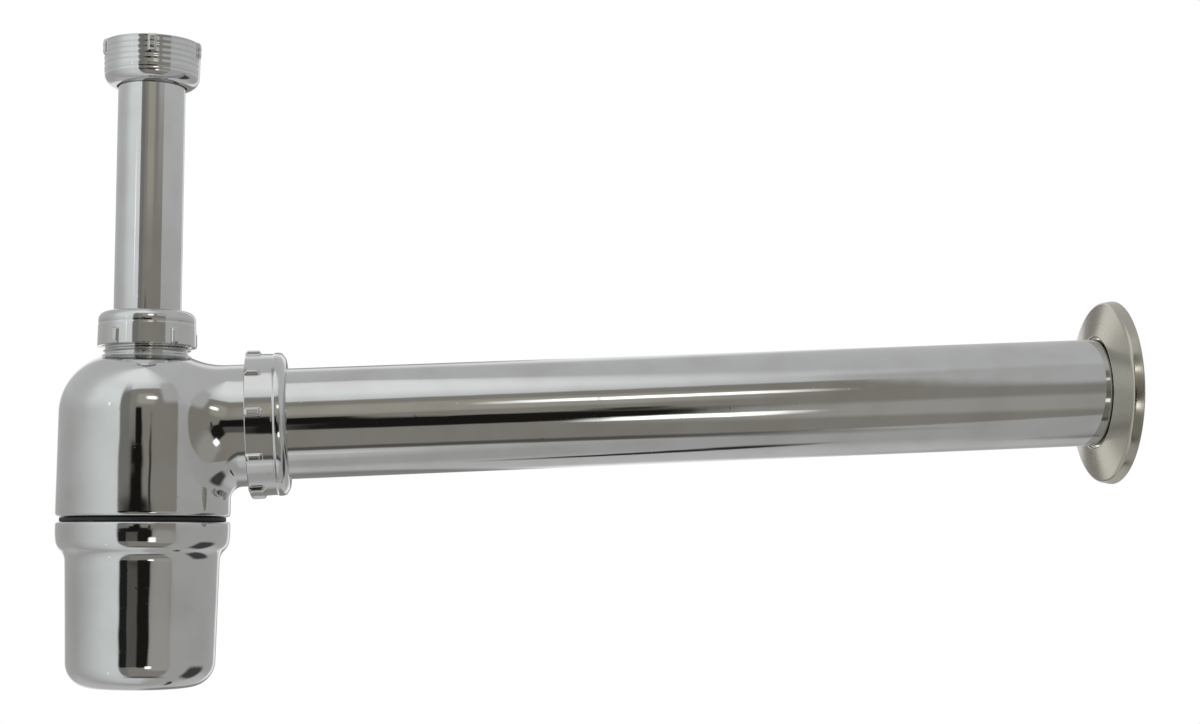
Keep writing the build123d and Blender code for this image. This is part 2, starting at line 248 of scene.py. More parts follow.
class TrapTubes(bpy.types.PropertyGroup):
    wall: size("Wall", 1.0 * MM, "Wall of the dip tube")
    collar: size("Collar", 1.6 * MM, "Thickness of the dip tube's rolled collar")
    edge: size("Edge", 0.25 * MM, "Rounding of the tube ends")
    lip: size("Lip", 0.7 * MM, "Rounding of the rolled collar")


class TrapFlange(bpy.types.PropertyGroup):
    sheet: size("Sheet", 1.0 * MM, "Thickness of the pressed sheet")
    rim_depth: size("Rim depth", 4.2 * MM, "Depth of the turned-back rim")
    rim_draft: size("Rim draft", 0.7 * MM, "How much the rim widens towards the wall")
    rim_radius: size("Rim radius", 1.4 * MM, "Rounding of the ridge round the face")
    rim_edge: size("Rim edge", 0.35 * MM, "Rounding of the rim's edges at the wall")
    hole_play: size("Hole play", 0.8 * MM, "Play between the flange's hole and the tube")
    lip: size("Lip", 3.0 * MM, "Length of the hole's turned-in lip along the tube")
    lip_sheet: size("Lip sheet", 0.5 * MM, "Thickness of the lip")
    lip_bend: size("Lip bend", 0.6 * MM, "Rounding from the face into the lip")
    lip_back: size("Lip back", 0.2 * MM, "Rounding behind that bend")
    lip_edge: size("Lip edge", 0.15 * MM, "Rounding of the lip's end")


class TrapRings(bpy.types.PropertyGroup):
    rubber_edge: size("Rubber edge", 0.4 * MM, "Rounding of the rubber rings")
    slip_edge: size("Slip edge", 0.2 * MM, "Rounding of the slip rings")
    play: size("Play", 0.02 * MM, "Gap that keeps a ring's faces off the faces round it")
    seal_play: size("Seal play", 0.07 * MM, "Gap between the cup's seal and the crests of the spigot")


class TrapFinish(bpy.types.PropertyGroup):
    chrome: colour("Chrome", (0.60, 0.605, 0.61), "Colour of the chrome plating")
    chrome_haze: colour("Chrome haze", (0.55, 0.55, 0.545), "Colour of the chrome where it is hazed")
    chrome_gloss: share("Chrome roughness", 0.045, "Roughness of the chrome plating")
    cast_wave: share("Casting wave", 0.30, "How uneven the polish of the castings is")
    tube_wave: share("Tube wave", 0.10, "How uneven the polish of the tubes is")
    steel: colour("Steel", (0.50, 0.48, 0.415), "Colour of the flange's polished steel")
    steel_gloss: share("Steel roughness", 0.18, "Roughness of the flange's polished steel")
    rubber: colour("Rubber", (0.012, 0.012, 0.013), "Colour of the rubber rings")
    nylon: colour("Nylon", (0.80, 0.79, 0.75), "Colour of the slip rings")


class TrapStudio(bpy.types.PropertyGroup):
    lens: FloatProperty(name="Lens", description="Focal length in millimetres", default=60, min=10, max=300)
    camera: spot("Camera", (0.08641, -0.73063, -0.18007), "Where the camera stands")
    target: spot("Target", (0.16423, 0, -0.11476), "What the camera looks at")
    floor_drop: size("Floor drop", 1.7, "How far the floor lies below the trap")
    floor_size: size("Floor size", 2.4, "Radius of the floor")
    floor_colour: colour("Floor", (0.8, 0.8, 0.8), "Colour of the floor")
    floor_glow: share("Floor glow", 0.6, "Light that the floor gives where it is seen")
    shell_size: size("Shell size", 1.4, "Radius of the studio's lit walls")
    wall_low: colour("Walls below", (0.50, 0.495, 0.485), "Light of the walls below the trap's level")
    wall_high: colour("Walls above", (0.64, 0.645, 0.64), "Light of the walls above it")
    world_glow: share("World glow", 0.5, "Soft light of the world, which shows white")
    lamp_power: FloatProperty(
        name="Lamp", description="Power of the key lamp", default=9, min=0, unit="POWER"
    )
    lamp_size: size("Lamp size", 0.7, "Width of the key lamp")
    lamp_place: spot("Lamp place", (-0.55, -0.5, 0.95), "Where the key lamp hangs, from the trap's middle")


GROUPS = {
    "meshing": TrapMeshing,
    "nuts": TrapNuts,
    "threads": TrapThreads,
    "body": TrapBody,
    "cup": TrapCup,
    "tubes": TrapTubes,
    "flange": TrapFlange,
    "rings": TrapRings,
    "finish": TrapFinish,
    "studio": TrapStudio,
}


def settings(group):
    return getattr(bpy.context.scene, f"trap_{group}")


# Outlines: complex numbers, with the radius as the real part and the station as the imaginary part

def rounded(corners, closed=True, steps=6):
    """Outline through (radius, station, rounding) corners, with an arc for each rounding.

    A stretch between two arcs that has the room gets a supporting row at each end.
    """
    support = settings("meshing").support
    points = [complex(r, h) for r, h, _ in corners]
    stretches = []
    for i, (_, _, rounding) in enumerate(corners):
        here = points[i]
        open_end = not closed and i in (0, len(points) - 1)
        if rounding == 0 or open_end:
            stretches.append([here])
            continue
        back = points[i - 1] - here
        ahead = points[(i + 1) % len(points)] - here
        back /= abs(back)
        ahead /= abs(ahead)
        half = abs(np.angle(ahead / back)) / 2
        middle = here + (back + ahead) / abs(back + ahead) * rounding / math.sin(half)
        run = rounding / math.tan(half)
        spoke = here + back * run - middle
        turn = np.angle((here + ahead * run - middle) / spoke)
        stretches.append([middle + spoke * np.exp(1j * turn * k / steps) for k in range(steps + 1)])
    outline = []
    for i, stretch in enumerate(stretches):
        outline += stretch
        if not closed and i == len(stretches) - 1:
            break
        start, stop = stretch[-1], stretches[(i + 1) % len(stretches)][0]
        if abs(stop - start) > 4 * support:
            step = (stop - start) / abs(stop - start) * support
            outline += [start + step, stop - step]
    return outline


def square_ring(low, high, hole, rim, edge):
    return rounded([(hole, low, edge), (rim, low, edge), (rim, high, edge), (hole, high, edge)])


def refined(outline, radius, step, closed=True):
    """Outline with the long stretches that stand at about one radius cut into short steps."""
    tolerance = 0.4 * MM
    result = []
    count = len(outline)
    for i, here in enumerate(outline):
        result.append(here)
        if not closed and i == count - 1:
            break
        ahead = outline[(i + 1) % count]
        level = abs(here.real - radius) < tolerance and abs(ahead.real - radius) < tolerance
        if level and abs(ahead - here) > step:
            pieces = math.ceil(abs(ahead - here) / step)
            result += [here + (ahead - here) * k / pieces for k in range(1, pieces)]
    return result


def smooth(x):
    x = np.clip(x, 0, 1)
    return x * x * (3 - 2 * x)


# Threads

def thread_step(pitch):
    return pitch / settings("meshing").thread_rows


def thread_wave(angles, stations, pitch):
    """1 on the crests of a right-hand thread and 0 in its roots."""
    crest = settings("threads").crest
    swing = np.tanh(crest * np.cos(TAU * stations / pitch - angles)) / math.tanh(crest)
    return 0.5 + 0.5 * swing


def lead_in(stations, start, end, pitch):
    """0 at both ends of an outside thread and 1 from a turn away from them."""
    return smooth((stations - start) / pitch) * smooth((end - stations) / pitch)


def inside_thread(angles, stations, from_mouth, root, pitch):
    """Radii of an inside thread that opens into a chamfer at its mouth."""
    chamfer = 1 - smooth(from_mouth / (pitch / 2))
    return root + settings("threads").depth * np.maximum(thread_wave(angles, stations, pitch), chamfer)


def branch_bore():
    return measure("outlet_washer", OUTLET)[2]


def neck_thread_root():
    return settings("body").neck_radius - settings("threads").depth / 2


def branch_thread_root():
    body = settings("body")
    return branch_bore() + body.branch_wall + body.branch_thread - settings("threads").depth / 2


def spigot_thread_root():
    """Root of the spigot's thread, whose crests slip through the cup's seal."""
    return measure("cup_seal", INLET)[2] - settings("rings").seal_play - settings("threads").depth


# Materials

class Nodes:
    """A node tree that is filled by short calls."""

    def __init__(self, tree):
        self.tree = tree

    def feed(self, node, feeds):
        """Sets a node's named or numbered inputs to constants, or links them to other sockets."""
        for name, value in feeds.items():
            socket = node.inputs[name]
            if isinstance(value, bpy.types.NodeSocket):
                self.tree.links.new(value, socket)
            else:
                socket.default_value = (*value, 1) if socket.type == "RGBA" else value
        return node

    def add(self, kind, feeds, **attributes):
        node = self.tree.nodes.new(f"ShaderNode{kind}")
        for name, value in attributes.items():
            setattr(node, name, value)
        return self.feed(node, feeds)

    def surface(self, feeds):
        """Feeds the shader that a new material has."""
        self.feed(self.tree.nodes["Principled BSDF"], feeds)

    @cached_property
    def place(self):
        """Place on the piece, in its own coordinates."""
        return self.add("TexCoord", {}).outputs["Object"]

    def maths(self, operation, *values):
        return self.add("Math", dict(enumerate(values)), operation=operation).outputs[0]

    def vector(self, operation, *values):
        return self.add("VectorMath", dict(enumerate(values)), operation=operation).outputs[0]

    def noise(self, scale, detail, stretch=None):
        """Noise over the piece, which can be stretched along its axes."""
        place = self.place
        if stretch:
            place = self.add("Mapping", {"Vector": place, "Scale": stretch}).outputs[0]
        return self.add("TexNoise", {"Vector": place, "Scale": scale, "Detail": detail}).outputs["Fac"]

    def ranged(self, value, low, high, to_low=0, to_high=1, **attributes):
        feeds = {"Value": value, "From Min": low, "From Max": high, "To Min": to_low, "To Max": to_high}
        return self.add("MapRange", feeds, **attributes).outputs["Result"]

    def blended(self, factor, first, second, label=""):
        """The first colour where the factor is 0 and the second where it is 1."""
        feeds = {0: factor, 6: first, 7: second}
        return self.add("Mix", feeds, data_type="RGBA", label=label).outputs[2]

    def bump(self, height, strength, depth, below=None):
        """Normals of a relief, which can lie over another relief."""
        feeds = {"Height": height, "Strength": strength, "Distance": depth}
        if below is not None:
            feeds["Normal"] = below
        return self.add("Bump", feeds).outputs[0]


def new_material(name):
    material = bpy.data.materials.new(name)
    material.use_nodes = True
    return material, Nodes(material.node_tree)


def chrome_material(name):
    """Bright plating: a slightly uneven polish, faint haze, hairline scratches and a few specks."""
    finish = settings("finish")
    material, nodes = new_material(name)
    wave = finish.cast_wave if name == "cast_chrome" else finish.tube_wave
    haze = nodes.ranged(nodes.noise(scale=60, detail=4), low=0.42, high=0.7)
    scratches = nodes.noise(scale=900, detail=3, stretch=(0.06, 1, 1))
    gloss = finish.chrome_gloss
    scratched = gloss * 2.4
    uneven = nodes.bump(nodes.noise(scale=70, detail=1), strength=wave, depth=0.5 * MM)
    specks = nodes.ranged(nodes.noise(scale=420, detail=1), low=0.74, high=0.80)
    nodes.surface({
        "Metallic": 1,
        "Base Color": nodes.blended(haze, finish.chrome, finish.chrome_haze),
        "Roughness": nodes.ranged(scratches, low=0.62, high=0.72, to_low=gloss, to_high=scratched),
        "Normal": nodes.bump(specks, strength=0.15, depth=0.05 * MM, below=uneven),
    })
    return material


def steel_material(name):
    """Polished stainless sheet with faint spinning lines round the tube."""
    finish = settings("finish")
    material, nodes = new_material(name)
    low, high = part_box("wall_flange")
    off_centre = nodes.vector("SUBTRACT", nodes.place, (low + high) / 2)
    on_face = nodes.vector("MULTIPLY", off_centre, (0, 1, 1))
    radius = nodes.add("VectorMath", {0: on_face}, operation="LENGTH").outputs["Value"]
    spin = {"W": radius, "Scale": 2600, "Detail": 2}
    lines = nodes.add("TexNoise", spin, noise_dimensions="1D").outputs["Fac"]
    gloss = finish.steel_gloss
    swing = gloss * 0.3
    worn = [c * 0.9 for c in finish.steel]
    patches = nodes.ranged(nodes.noise(scale=45, detail=3), low=0.35, high=0.7)
    uneven = nodes.bump(nodes.noise(scale=30, detail=1), strength=0.16, depth=1.0 * MM)
    nodes.surface({
        "Metallic": 1,
        "Base Color": nodes.blended(patches, finish.steel, worn),
        "Roughness": nodes.ranged(lines, low=0.3, high=0.7, to_low=gloss - swing, to_high=gloss + swing),
        "Normal": nodes.bump(lines, strength=0.03, depth=0.02 * MM, below=uneven),
    })
    return material


def rubber_material(name):
    """Black moulded rubber with a fine matt grain and a faint bloom."""
    rubber = settings("finish").rubber
    material, nodes = new_material(name)
    bloom = [c * 2.2 + 0.004 for c in rubber]
    patches = nodes.ranged(nodes.noise(scale=120, detail=4), low=0.4, high=0.75)
    grain = nodes.noise(scale=2200, detail=3)
    nodes.surface({
        "Base Color": nodes.blended(patches, rubber, bloom),
        "Roughness": nodes.ranged(grain, low=0.3, high=0.7, to_low=0.5, to_high=0.7),
        "Normal": nodes.bump(grain, strength=0.25, depth=0.05 * MM),
    })
    return material


def nylon_material(name):
    """Natural white nylon, slightly waxy and yellowed in patches."""
    nylon = settings("finish").nylon
    material, nodes = new_material(name)
    yellowed = [c * k for c, k in zip(nylon, (0.96, 0.94, 0.88))]
    patches = nodes.ranged(nodes.noise(scale=90, detail=3), low=0.4, high=0.7)
    wax = nodes.noise(scale=700, detail=2)
    nodes.surface({
        "Base Color": nodes.blended(patches, nylon, yellowed),
        "Roughness": nodes.ranged(wax, low=0.3, high=0.7, to_low=0.34, to_high=0.48),
    })
    return material


FINISHES = {
    "cast_chrome": chrome_material,
    "tube_chrome": chrome_material,
    "polished_steel": steel_material,
    "black_rubber": rubber_material,
    "white_nylon": nylon_material,
}


def material_of(finish):
    """Material of a finish, made the first time that it is asked for."""
    made = bpy.data.materials.get(finish)
    return FINISHES[finish](finish) if made is None else made


# Meshes

def linked(name, data, location):
    made = bpy.data.objects.new(name, data)
    made.location = location
    bpy.context.scene.collection.objects.link(made)
    return made


def add_piece(node, points, faces, finish):
    """Piece that stands for a node, with doubles merged, normals outward and steep edges sharp."""
    name = f"trap_{node}"
    mesh = bpy.data.meshes.new(name)
    mesh.from_pydata(points.tolist(), [], faces)
    shape = bmesh.new()
    shape.from_mesh(mesh)
    bmesh.ops.remove_doubles(shape, verts=shape.verts, dist=MERGE_GAP)
    bmesh.ops.recalc_face_normals(shape, faces=shape.faces)
    shape.to_mesh(mesh)
    shape.free()
    mesh.polygons.foreach_set("use_smooth", [True] * len(mesh.polygons))
    mesh.set_sharp_from_angle(angle=settings("meshing").sharp)
    mesh.update()
    mesh.materials.append(material_of(finish))
    piece = linked(name, mesh, (0, 0, 0))
    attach(piece, frame["nodes"][node]["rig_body"])
    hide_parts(node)


def placed(points, place):
    turn = np.array(place.to_3x3())
    return points @ turn.T + np.array(place.translation)


def ring_points(radii, angles, stations):
    axes = np.broadcast_arrays(radii * np.cos(angles), radii * np.sin(angles), stations)
    return np.stack(axes, -1)


def even_columns():
    count = settings("meshing").columns
    return np.arange(count) * TAU / count - math.pi


def spun(outline, columns):
    """Radii, angles and stations of an outline's points at each column."""
    rows = np.array(outline)[:, None]
    shape = (len(rows), len(columns))
    return [np.broadcast_to(values, shape) for values in (rows.real, columns, rows.imag)]


def grid_faces(grid):
    """Corners of the face that starts at each point of a grid, which closes on itself both ways."""
    across, up = np.roll(grid, -1, 1), np.roll(grid, -1, 0)
    return np.stack([grid, across, np.roll(up, -1, 1), up], -1)


def turned(node, outline, place, finish, columns=None, relief=None, closed=True):
    """Piece turned from an outline about a place's Z axis.

    relief(radii, angles, stations) gives new radii.
    """
    radii, angles, stations = spun(outline, even_columns() if columns is None else columns)
    if relief:
        radii = relief(radii, angles, stations)
    points = ring_points(radii, angles, stations).reshape(-1, 3)
    faces = grid_faces(np.arange(len(points)).reshape(radii.shape))
    if not closed:
        faces = faces[:-1]
    add_piece(node, placed(points, place), faces.reshape(-1, 4).tolist(), finish)


# Nuts

# Rows of faces in one turning mark, and the columns over a lug's flank and their reach in half flanks
MARK_ROWS = 8
FLANK_COLUMNS = 9
FLANK_REACH = 1.5


def nearest(angles, centres):
    """Angle from each angle to the nearest of the centres."""
    return np.abs((angles[..., None] - centres + math.pi) % TAU - math.pi).min(-1)


def lug_columns(centres, radius):
    """Even columns round a nut, with extra ones on the flanks of its lugs."""
    nuts = settings("nuts")
    half, edge = nuts.lug_width / 2, nuts.lug_edge
    flank = half + edge * np.linspace(-FLANK_REACH, FLANK_REACH, FLANK_COLUMNS)
    extra = centres[:, None] + np.concatenate([-flank, flank, [0]]) / radius
    plain = even_columns()
    plain = plain[nearest(plain, centres) > (half + 2 * FLANK_REACH * edge) / radius]
    return np.sort((np.concatenate([plain, extra.ravel()]) + math.pi) % TAU - math.pi)


def make_nut(node, place, open_way, bore, wall, room, lugs, thread, rounding, marks=0, swell=0):
    """Lugged nut, whose open end lies the open way along its place's Z axis from its shoulder.

    room is its length for the rings behind its thread, lugs is (count, height, first turn), thread is
    (root radius, pitch), rounding is its shoulder's radius, marks is the depth of its turning marks and
    swell is how far its collar stands over its barrel.
    """
    nuts = settings("nuts")
    count, proud, turn = lugs
    root, pitch = thread
    low, high, hole, _ = measure(node, place)
    end = low if open_way > 0 else high
    height = high - low
    outer = bore + wall
    foot = outer - nuts.flare
    groove = bore + nuts.relief
    groove_end = nuts.shoulder + room
    edge, flank = nuts.edge, nuts.lug_edge
    outline = rounded([
        (hole, 0, edge),
        (foot, 0, rounding),
        (outer, height, edge),
        (bore, height, edge),
        (bore, groove_end, edge / 2),
        (groove, groove_end, 0),
        (groove, nuts.shoulder, edge),
        (hole, nuts.shoulder, edge),
    ])
    outline = refined(outline, (foot + outer) / 2, nuts.mark_pitch / MARK_ROWS)
    outline = refined(outline, bore, thread_step(pitch))
    outline = [complex(p.real, end + open_way * p.imag) for p in outline]
    centres = turn + np.arange(count) * TAU / count
    crest = root + settings("threads").depth
    fall = 3 * flank

    def relief(radii, angles, stations):
        along = (stations - end) * open_way
        across = nearest(angles, centres) * outer
        rise = 1 - smooth((across - nuts.lug_width / 2 + flank) / (2 * flank))
        rise = rise * smooth((along - height + nuts.lug_length) / proud)
        rise = rise * (1 - nuts.lug_sink * smooth((along - height + fall) / fall))
        ripple = np.cos(TAU * along / nuts.mark_pitch) * smooth((along - rounding) / nuts.mark_pitch)
        past_collar = along - nuts.collar_length
        line = np.exp(-((past_collar / nuts.line_width) ** 2))
        collar = 1 - smooth(past_collar / nuts.collar_step + 0.5)
        barrel = radii + proud * rise + marks * ripple - nuts.line_depth * line + swell * collar
        threaded = (np.abs(radii - bore) < ON_RADIUS) & (along > groove_end)
        mouth = (radii < crest) & (along > height - 2 * edge)
        cut = inside_thread(angles, stations, height - along, root, pitch)
        return np.where(radii > foot - flank, barrel, np.where(threaded | mouth, cut, radii))

    turned(node, outline, place, "cast_chrome", lug_columns(centres, outer), relief)


class TRAP_OT_nuts(bpy.types.Operator):
    """Add the inlet nut, the neck nut and the outlet nut"""

    bl_idname = "trap.nuts"
    bl_label = "Lugged Nuts"

    def execute(self, context):
        nuts, threads = settings("nuts"), settings("threads")
        to_middle = threads.depth / 2
        waste = frame["record"]["mounts"][0]["dims"]
        waste_radius = waste["r_mm"] * MM
        low, high, _, _ = measure("inlet_nut", INLET)
        make_nut(
            "inlet_nut", INLET, 1, waste_radius, nuts.small_wall,
            room=high - low - nuts.shoulder - waste["length_mm"] * MM,
            lugs=(5, nuts.small_proud, nuts.inlet_turn),
            thread=(waste_radius, threads.pipe_pitch),
            rounding=nuts.inlet_shoulder_radius,
            marks=nuts.mark_depth,
        )
        neck_root = neck_thread_root() + threads.play
        clamp = measure("neck_nut", INLET)[1] - nuts.shoulder - measure("neck_washer", INLET)[0]
        make_nut(
            "neck_nut", INLET, -1, neck_root + to_middle, nuts.small_wall,
            room=clamp,
            lugs=(5, nuts.small_proud, nuts.neck_turn),
            thread=(neck_root, threads.fine_pitch),
            rounding=nuts.shoulder_radius,
        )
        branch_root = branch_thread_root() + threads.play
        make_nut(
            "outlet_nut", OUTLET, -1, branch_root + to_middle, nuts.large_wall,
            room=clamp,
            lugs=(10, nuts.large_proud, nuts.outlet_turn),
            thread=(branch_root, threads.pipe_pitch),
            rounding=nuts.shoulder_radius,
            swell=nuts.collar_swell,
        )
        return {"FINISHED"}


# Cast body

# Rows of faces in the stretches of the casting
WALL_ROWS = 26
DOME_ROWS = 20
WEB_ROWS = 12
FILLET_ROWS = 10
RUN_ROWS = 8
INNER_WEB_ROWS = 8
BORE_ROWS = 6

# Ways on a bell between which the branch's web is cut out, and its half width in degrees
WEB_START = 0.05
WEB_END = 1.94
WEB_REACH = 66

# Way on the dome where the neck's collar starts, and depth of the branch's mouth that its outside draws
COLLAR_WAY = 1.985
MOUTH_DEPTH = 3 * MM

# Span of the cosine, from a branch's lowest turn, over which its fillet grows, and the search for where it
# rolls: how far it goes, in radii of the bell's foot, and its number of halvings
FILLET_GROWTH = 0.8
FARTHEST = 2.5
HALVINGS = 40


def unspun(points):
    """Angles about the inlet axis of points of the trap's frame, and their outline points."""
    x, y, z = points.T
    return np.arctan2(y, x), np.hypot(x, y) + 1j * z


class Bell:
    """Drafted wall with a domed top, about the inlet axis.

    Way 0 is its foot, 1 where the dome starts and 2 the dome's top.
    """

    def __init__(self, foot, shoulder, dome_radius, mouth_radius):
        self.foot, self.shoulder = complex(*foot), complex(*shoulder)
        self.centre = complex(shoulder[0] - dome_radius, shoulder[1])
        self.dome_radius = dome_radius
        self.turn = math.acos((mouth_radius - self.centre.real) / dome_radius)
        rise = self.shoulder - self.foot
        self.wall_normal = rise / abs(rise) * -1j

    def at(self, way):
        """Outline point at a way."""
        way = np.asarray(way, float)
        wall = self.foot + (self.shoulder - self.foot) * np.minimum(way, 1)
        dome = self.centre + self.dome_radius * np.exp(1j * self.turn * (way - 1))
        return np.where(way > 1, dome, wall)

    def normal(self, point):
        spoke = point - self.centre
        return np.where(point.imag > self.centre.imag, spoke / np.abs(spoke), self.wall_normal)

    def gap(self, point):
        """How far a point lies outside the bell."""
        dome = np.abs(point - self.centre) - self.dome_radius
        wall = ((point - self.foot) * np.conj(self.wall_normal)).real
        return np.where(point.imag > self.centre.imag, dome, wall)

    def way(self, point):
        wall = (point.imag - self.foot.imag) / (self.shoulder.imag - self.foot.imag)
        dome = 1 + np.angle(point - self.centre) / self.turn
        return np.where(point.imag > self.centre.imag, dome, wall)


class BranchJoin:
    """Where a branch along the outlet meets a bell, with a rolled fillet that is tighter at the bottom."""

    def __init__(self, bell, radius, fillet=0, low_fillet=0):
        self.bell, self.radius = bell, radius
        self.fillets = fillet, low_fillet

    def fillet(self, turns):
        """Rounding at each turn round the branch, counted from its top."""
        full, low = self.fillets
        return low + (full - low) * smooth((np.cos(turns) + 1) / FILLET_GROWTH)

    def ball(self, turns, stations):
        """Middle of the rolling ball at each turn round the branch, as points of the trap's frame."""
        return placed(ring_points(self.radius + self.fillet(turns), turns, stations), OUTLET)

    def stations(self, turns):
        """Station of the rolling ball at each turn, found by halving."""
        low = np.full(turns.shape, self.bell.centre.real)
        high = np.full(turns.shape, FARTHEST * self.bell.foot.real)
        for _ in range(HALVINGS):
            middle = (low + high) / 2
            _, outline = unspun(self.ball(turns, middle))
            outside = self.bell.gap(outline) > self.fillet(turns)
            low, high = np.where(outside, low, middle), np.where(outside, middle, high)
        return (low + high) / 2

    def bell_contact(self, turns, stations):
        """Angle and way on the bell where the ball touches it."""
        angles, outline = unspun(self.ball(turns, stations))
        return angles, self.bell.way(outline - self.fillet(turns) * self.bell.normal(outline))

    def arc(self, turns, stations):
        """Loops of points along the fillet, from the bell to the branch."""
        middle = self.ball(turns, stations)
        angles, ways = self.bell_contact(turns, stations)
        outline = self.bell.at(ways)
        first = ring_points(outline.real, angles, outline.imag) - middle
        last = placed(ring_points(self.radius, turns, stations), OUTLET) - middle
        cosine = np.clip((first * last).sum(1) / self.fillet(turns) ** 2, -1, 1)
        whole = np.arccos(cosine)[:, None]
        for k in range(1, FILLET_ROWS + 1):
            part = whole * k / FILLET_ROWS
            yield middle + (first * np.sin(whole - part) + last * np.sin(part)) / np.sin(whole)


class Casting:
    """The body's sizes and its mesh, which is built loop by loop."""

    def __init__(self):
        self.points = np.zeros((0, 3))
        self.faces = []
        body = settings("body")
        self.spigot_foot, self.neck_mouth, _, _ = measure("body", INLET)
        self.foot = self.spigot_foot + body.spigot_length
        low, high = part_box("body")
        self.foot_radius = (high.y - low.y) / 2
        self.spigot_bore = self.foot_radius - body.spigot_step - body.spigot_wall
        self.neck_bore = measure("neck_washer", INLET)[2]
        self.branch_radius = branch_bore() + body.branch_wall
        self.dome_top = OUTLET.translation.z + self.branch_radius + body.above_branch
        top_radius = self.foot_radius - body.draft
        from_centre = body.neck_radius - top_radius + body.dome_radius
        dome_foot = self.dome_top - math.sqrt(body.dome_radius**2 - from_centre**2)
        self.outer = Bell(
            (self.foot_radius, self.foot), (top_radius, dome_foot), body.dome_radius, body.neck_radius
        )
        self.ledge = self.foot + body.wall
        chamber = self.foot_radius - body.wall
        self.inner = Bell(
            (chamber, self.ledge + chamber - self.spigot_bore),
            (top_radius - body.wall, dome_foot),
            body.dome_radius - body.wall,
            self.neck_bore,
        )

    def add(self, points):
        start = len(self.points)
        self.points = np.concatenate([self.points, points])
        return np.arange(start, len(self.points))

    def bridge(self, first, second):
        quads = np.stack([first, np.roll(first, -1), np.roll(second, -1), second], 1)
        self.faces += quads.tolist()
        return second

    def carry(self, loop, radius, turns, stations):
        """Carries a loop of the branch on to a radius and stations."""
        return self.bridge(loop, self.add(placed(ring_points(radius, turns, stations), OUTLET)))

    def neck(self):
        """Outline between the two bells' domes, up the neck and down its bore."""
        body = settings("body")
        edge = body.edge
        root, collar = neck_thread_root(), body.neck_radius + body.neck_collar
        start, end = self.outer.at(WEB_END), self.inner.at(WEB_END)
        corners = [
            (start.real, start.imag, 0),
            (collar, self.outer.at(COLLAR_WAY).imag, edge / 2),
            (collar, self.dome_top + body.collar_rise, edge / 2),
            (root, self.dome_top + body.thread_rise, edge / 2),
            (root, self.neck_mouth, edge),
            (self.neck_bore, self.neck_mouth, edge),
            (self.neck_bore, self.inner.at(2).imag, edge),
            (end.real, end.imag, 0),
        ]
        outline = rounded(corners, closed=False)[1:-1]
        return refined(outline, root, thread_step(settings("threads").fine_pitch), closed=False)

    def spigot(self):
        """Outline between the two bells' feet, down the spigot's bore and up its thread."""
        body = settings("body")
        edge = body.edge
        root = spigot_thread_root()
        start, end = self.inner.at(WEB_START), self.outer.at(WEB_START)
        corners = [
            (start.real, start.imag, 0),
            (self.inner.foot.real, self.inner.foot.imag, edge),
            (self.spigot_bore, self.ledge, edge),
            (self.spigot_bore, self.spigot_foot, edge),
            (root, self.spigot_foot, edge * 2),
            (root, self.foot, edge),
            (self.foot_radius, self.foot, body.foot_edge),
            (end.real, end.imag, 0),
        ]
        outline = rounded(corners, closed=False)[1:-1]
        return refined(outline, root, thread_step(settings("threads").fine_pitch), closed=False)

    def section(self):
        """Adds the turned section, up the outside and down the inside, without two patches for the branch.

        Returns the grids of the two patches, the one on the bell first.
        """
        threads = settings("threads")
        pitch = threads.fine_pitch
        ways = np.concatenate([
            np.linspace(WEB_START, 1, WALL_ROWS),
            np.linspace(1, WEB_END, DOME_ROWS)[1:],
        ])
        neck = self.neck()
        outline = [*self.outer.at(ways), *neck, *self.inner.at(ways[::-1]), *self.spigot()]
        plain, angles, stations = spun(outline, even_columns())
        wave = threads.depth * thread_wave(angles, stations, pitch)
        radii = plain
        for root, start, end in (
            (neck_thread_root(), self.dome_top + settings("body").thread_rise, self.neck_mouth),
            (spigot_thread_root(), self.spigot_foot, self.foot),
        ):
            lift = wave * lead_in(stations, start, end, pitch)
            radii = radii + np.where(np.abs(plain - root) < ON_RADIUS, lift, 0)
        grid = self.add(ring_points(radii, angles, stations).reshape(-1, 3)).reshape(plain.shape)
        columns = grid.shape[1]
        reach = round(columns * WEB_REACH / 360)
        left, right = columns // 2 - reach, columns // 2 + reach
        kept = np.ones(grid.shape, bool)
        patches = []
        for first in (0, len(ways) + len(neck)):
            last = first + len(ways) - 1
            kept[first:last, left:right] = False
            patches.append(grid[first:last + 1, left:right + 1])
        self.faces += grid_faces(grid)[kept].tolist()
        return patches

    def web(self, patch, join, layers):
        """Fills a patch with a web that ends at the branch: its last loop, with its turns and stations."""
        edge = np.concatenate([patch[0, :-1], patch[:-1, -1], patch[-1, :0:-1], patch[:0:-1, 0]])
        local = placed(self.points[edge], OUTLET.inverted())
        turns = np.arctan2(local[:, 1], local[:, 0])
        order = np.argsort(turns)
        loop, turns = edge[order], turns[order]
        stations = join.stations(turns)
        hole_angles, hole_ways = join.bell_contact(turns, stations)
        edge_angles, outline = unspun(self.points[loop])
        edge_ways = join.bell.way(outline)
        for k in range(1, layers + 1):
            outline = join.bell.at(edge_ways + (hole_ways - edge_ways) * k / layers)
            angles = edge_angles + (hole_angles - edge_angles) * k / layers
            loop = self.bridge(loop, self.add(ring_points(outline.real, angles, outline.imag)))
        return loop, turns, stations

